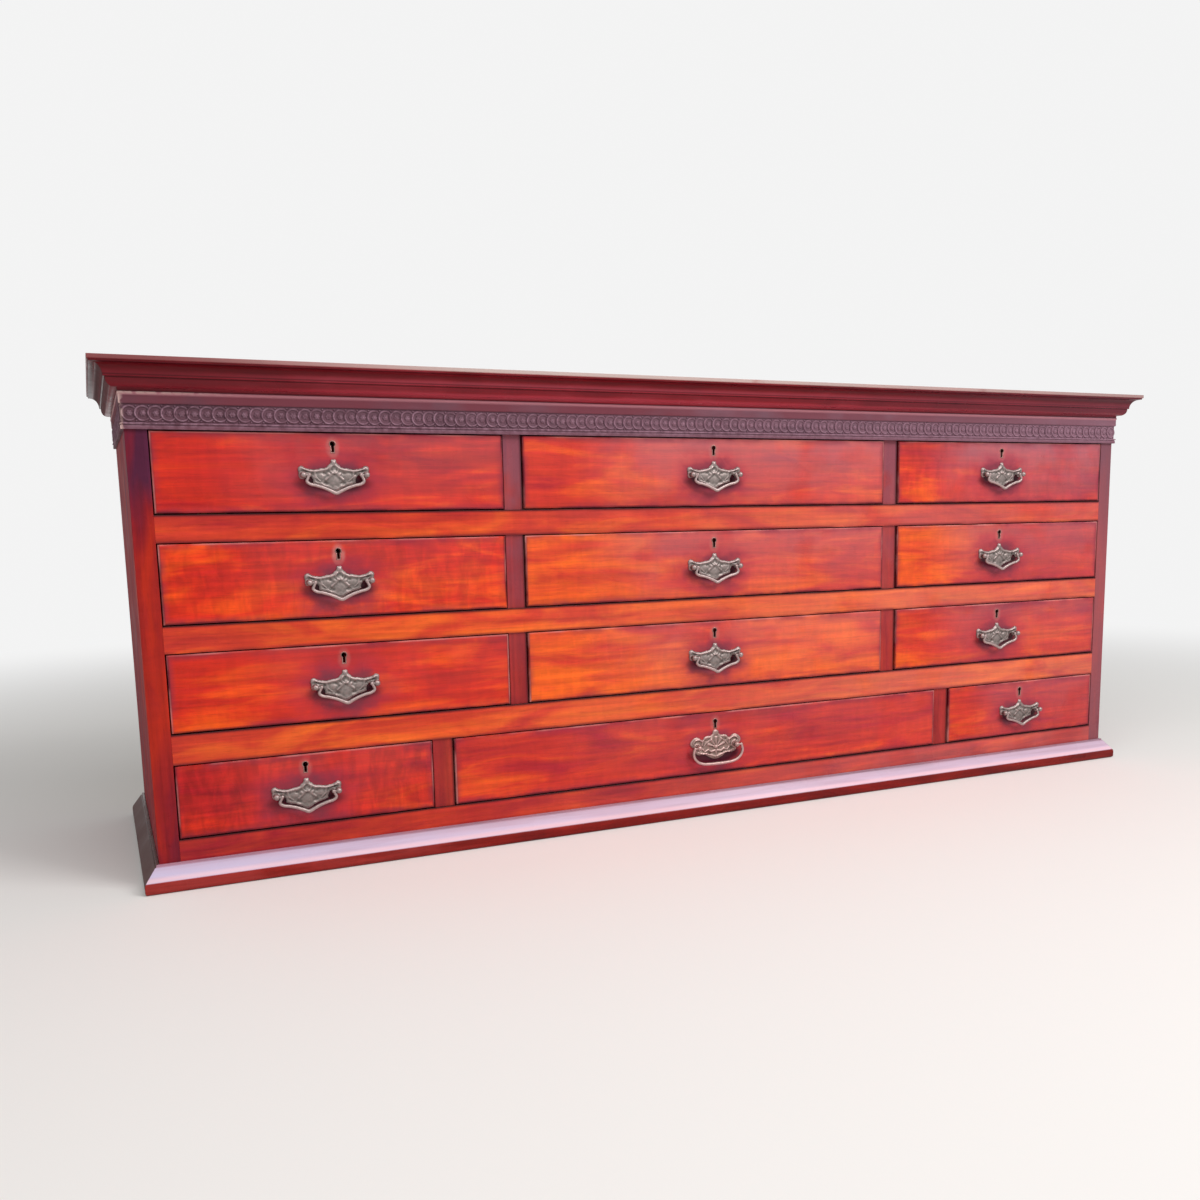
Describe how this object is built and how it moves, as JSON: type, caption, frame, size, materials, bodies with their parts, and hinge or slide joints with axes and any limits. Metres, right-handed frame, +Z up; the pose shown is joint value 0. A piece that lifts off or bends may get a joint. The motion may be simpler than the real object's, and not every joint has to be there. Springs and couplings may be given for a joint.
{
  "type": "bank of drawers",
  "caption": "Long low wooden bank of drawers with a moulded cornice, carved frieze and bevelled base; dovetailed drawers slide out, each with a keyhole and a swinging bail handle.",
  "frame": {"origin": "on the ground, at the middle of the rectangle that the cornice covers", "axes": "+Z up, +X to the right along the front, -Y out of the front, the way the drawers open"},
  "size_m": [1.46, 0.4, 0.565],
  "materials": {
    "mahogany": "French polished, worn at the edges",
    "dark_mahogany": "dark polish, worn at the edges",
    "pine": "bare, aged",
    "aged_brass": "cast, tarnished, rubbed bright on high spots"
  },
  "bodies": {
    "carcase": {"side_left": "mahogany", "side_right": "mahogany", "front_rails": "mahogany", "back_rails": "pine", "column_dividers": "mahogany", "runners_and_guides": "pine", "back_boards": "pine", "frieze": "dark_mahogany", "top_board": "mahogany", "bottom_board": "pine", "cornice": "dark_mahogany", "base_moulding": "dark_mahogany"},
    "drawer_r1c1": {"drawer_front_r1c1": "mahogany", "drawer_box_r1c1": "pine", "hardware_r1c1": "aged_brass"},
    "bail_r1c1": {"bail_r1c1": "aged_brass"},
    "drawer_r1c2": {"drawer_front_r1c2": "mahogany", "drawer_box_r1c2": "pine", "hardware_r1c2": "aged_brass"},
    "bail_r1c2": {"bail_r1c2": "aged_brass"},
    "drawer_r1c3": {"drawer_front_r1c3": "mahogany", "drawer_box_r1c3": "pine", "hardware_r1c3": "aged_brass"},
    "bail_r1c3": {"bail_r1c3": "aged_brass"},
    "drawer_r2c1": {"drawer_front_r2c1": "mahogany", "drawer_box_r2c1": "pine", "hardware_r2c1": "aged_brass"},
    "bail_r2c1": {"bail_r2c1": "aged_brass"},
    "drawer_r2c2": {"drawer_front_r2c2": "mahogany", "drawer_box_r2c2": "pine", "hardware_r2c2": "aged_brass"},
    "bail_r2c2": {"bail_r2c2": "aged_brass"},
    "drawer_r2c3": {"drawer_front_r2c3": "mahogany", "drawer_box_r2c3": "pine", "hardware_r2c3": "aged_brass"},
    "bail_r2c3": {"bail_r2c3": "aged_brass"},
    "drawer_r3c1": {"drawer_front_r3c1": "mahogany", "drawer_box_r3c1": "pine", "hardware_r3c1": "aged_brass"},
    "bail_r3c1": {"bail_r3c1": "aged_brass"},
    "drawer_r3c2": {"drawer_front_r3c2": "mahogany", "drawer_box_r3c2": "pine", "hardware_r3c2": "aged_brass"},
    "bail_r3c2": {"bail_r3c2": "aged_brass"},
    "drawer_r3c3": {"drawer_front_r3c3": "mahogany", "drawer_box_r3c3": "pine", "hardware_r3c3": "aged_brass"},
    "bail_r3c3": {"bail_r3c3": "aged_brass"},
    "drawer_r4c1": {"drawer_front_r4c1": "mahogany", "drawer_box_r4c1": "pine", "hardware_r4c1": "aged_brass"},
    "bail_r4c1": {"bail_r4c1": "aged_brass"},
    "drawer_r4c2": {"drawer_front_r4c2": "mahogany", "drawer_box_r4c2": "pine", "hardware_r4c2": "aged_brass"},
    "bail_r4c2": {"bail_r4c2": "aged_brass"},
    "drawer_r4c3": {"drawer_front_r4c3": "mahogany", "drawer_box_r4c3": "pine", "hardware_r4c3": "aged_brass"},
    "bail_r4c3": {"bail_r4c3": "aged_brass"}
  },
  "joints": [
    {"name": "slide_r1c1", "type": "slide", "parent": "carcase", "child": "drawer_r1c1", "axis": [0, -1, 0], "range_m": [0, 0.25]},
    {"name": "swing_r1c1", "type": "hinge", "parent": "drawer_r1c1", "child": "bail_r1c1", "pos_m": [-0.489, -0.1785, 0.447], "axis": [-1, 0, 0], "range_deg": [0, 165]},
    {"name": "slide_r1c2", "type": "slide", "parent": "carcase", "child": "drawer_r1c2", "axis": [0, -1, 0], "range_m": [0, 0.25]},
    {"name": "swing_r1c2", "type": "hinge", "parent": "drawer_r1c2", "child": "bail_r1c2", "pos_m": [-0.005, -0.1785, 0.447], "axis": [-1, 0, 0], "range_deg": [0, 165]},
    {"name": "slide_r1c3", "type": "slide", "parent": "carcase", "child": "drawer_r1c3", "axis": [0, -1, 0], "range_m": [0, 0.25]},
    {"name": "swing_r1c3", "type": "hinge", "parent": "drawer_r1c3", "child": "bail_r1c3", "pos_m": [0.479, -0.1785, 0.447], "axis": [-1, 0, 0], "range_deg": [0, 165]},
    {"name": "slide_r2c1", "type": "slide", "parent": "carcase", "child": "drawer_r2c1", "axis": [0, -1, 0], "range_m": [0, 0.25]},
    {"name": "swing_r2c1", "type": "hinge", "parent": "drawer_r2c1", "child": "bail_r2c1", "pos_m": [-0.489, -0.1785, 0.329], "axis": [-1, 0, 0], "range_deg": [0, 165]},
    {"name": "slide_r2c2", "type": "slide", "parent": "carcase", "child": "drawer_r2c2", "axis": [0, -1, 0], "range_m": [0, 0.25]},
    {"name": "swing_r2c2", "type": "hinge", "parent": "drawer_r2c2", "child": "bail_r2c2", "pos_m": [-0.005, -0.1785, 0.329], "axis": [-1, 0, 0], "range_deg": [0, 165]},
    {"name": "slide_r2c3", "type": "slide", "parent": "carcase", "child": "drawer_r2c3", "axis": [0, -1, 0], "range_m": [0, 0.25]},
    {"name": "swing_r2c3", "type": "hinge", "parent": "drawer_r2c3", "child": "bail_r2c3", "pos_m": [0.479, -0.1785, 0.329], "axis": [-1, 0, 0], "range_deg": [0, 165]},
    {"name": "slide_r3c1", "type": "slide", "parent": "carcase", "child": "drawer_r3c1", "axis": [0, -1, 0], "range_m": [0, 0.25]},
    {"name": "swing_r3c1", "type": "hinge", "parent": "drawer_r3c1", "child": "bail_r3c1", "pos_m": [-0.489, -0.1785, 0.211], "axis": [-1, 0, 0], "range_deg": [0, 165]},
    {"name": "slide_r3c2", "type": "slide", "parent": "carcase", "child": "drawer_r3c2", "axis": [0, -1, 0], "range_m": [0, 0.25]},
    {"name": "swing_r3c2", "type": "hinge", "parent": "drawer_r3c2", "child": "bail_r3c2", "pos_m": [-0.005, -0.1785, 0.211], "axis": [-1, 0, 0], "range_deg": [0, 165]},
    {"name": "slide_r3c3", "type": "slide", "parent": "carcase", "child": "drawer_r3c3", "axis": [0, -1, 0], "range_m": [0, 0.25]},
    {"name": "swing_r3c3", "type": "hinge", "parent": "drawer_r3c3", "child": "bail_r3c3", "pos_m": [0.479, -0.1785, 0.211], "axis": [-1, 0, 0], "range_deg": [0, 165]},
    {"name": "slide_r4c1", "type": "slide", "parent": "carcase", "child": "drawer_r4c1", "axis": [0, -1, 0], "range_m": [0, 0.25]},
    {"name": "swing_r4c1", "type": "hinge", "parent": "drawer_r4c1", "child": "bail_r4c1", "pos_m": [-0.539, -0.1785, 0.09], "axis": [-1, 0, 0], "range_deg": [0, 165]},
    {"name": "slide_r4c2", "type": "slide", "parent": "carcase", "child": "drawer_r4c2", "axis": [0, -1, 0], "range_m": [0, 0.25]},
    {"name": "swing_r4c2", "type": "hinge", "parent": "drawer_r4c2", "child": "bail_r4c2", "pos_m": [-0.005, -0.1785, 0.09], "axis": [-1, 0, 0], "range_deg": [0, 165]},
    {"name": "slide_r4c3", "type": "slide", "parent": "carcase", "child": "drawer_r4c3", "axis": [0, -1, 0], "range_m": [0, 0.25]},
    {"name": "swing_r4c3", "type": "hinge", "parent": "drawer_r4c3", "child": "bail_r4c3", "pos_m": [0.529, -0.1785, 0.09], "axis": [-1, 0, 0], "range_deg": [0, 165]}
  ]
}
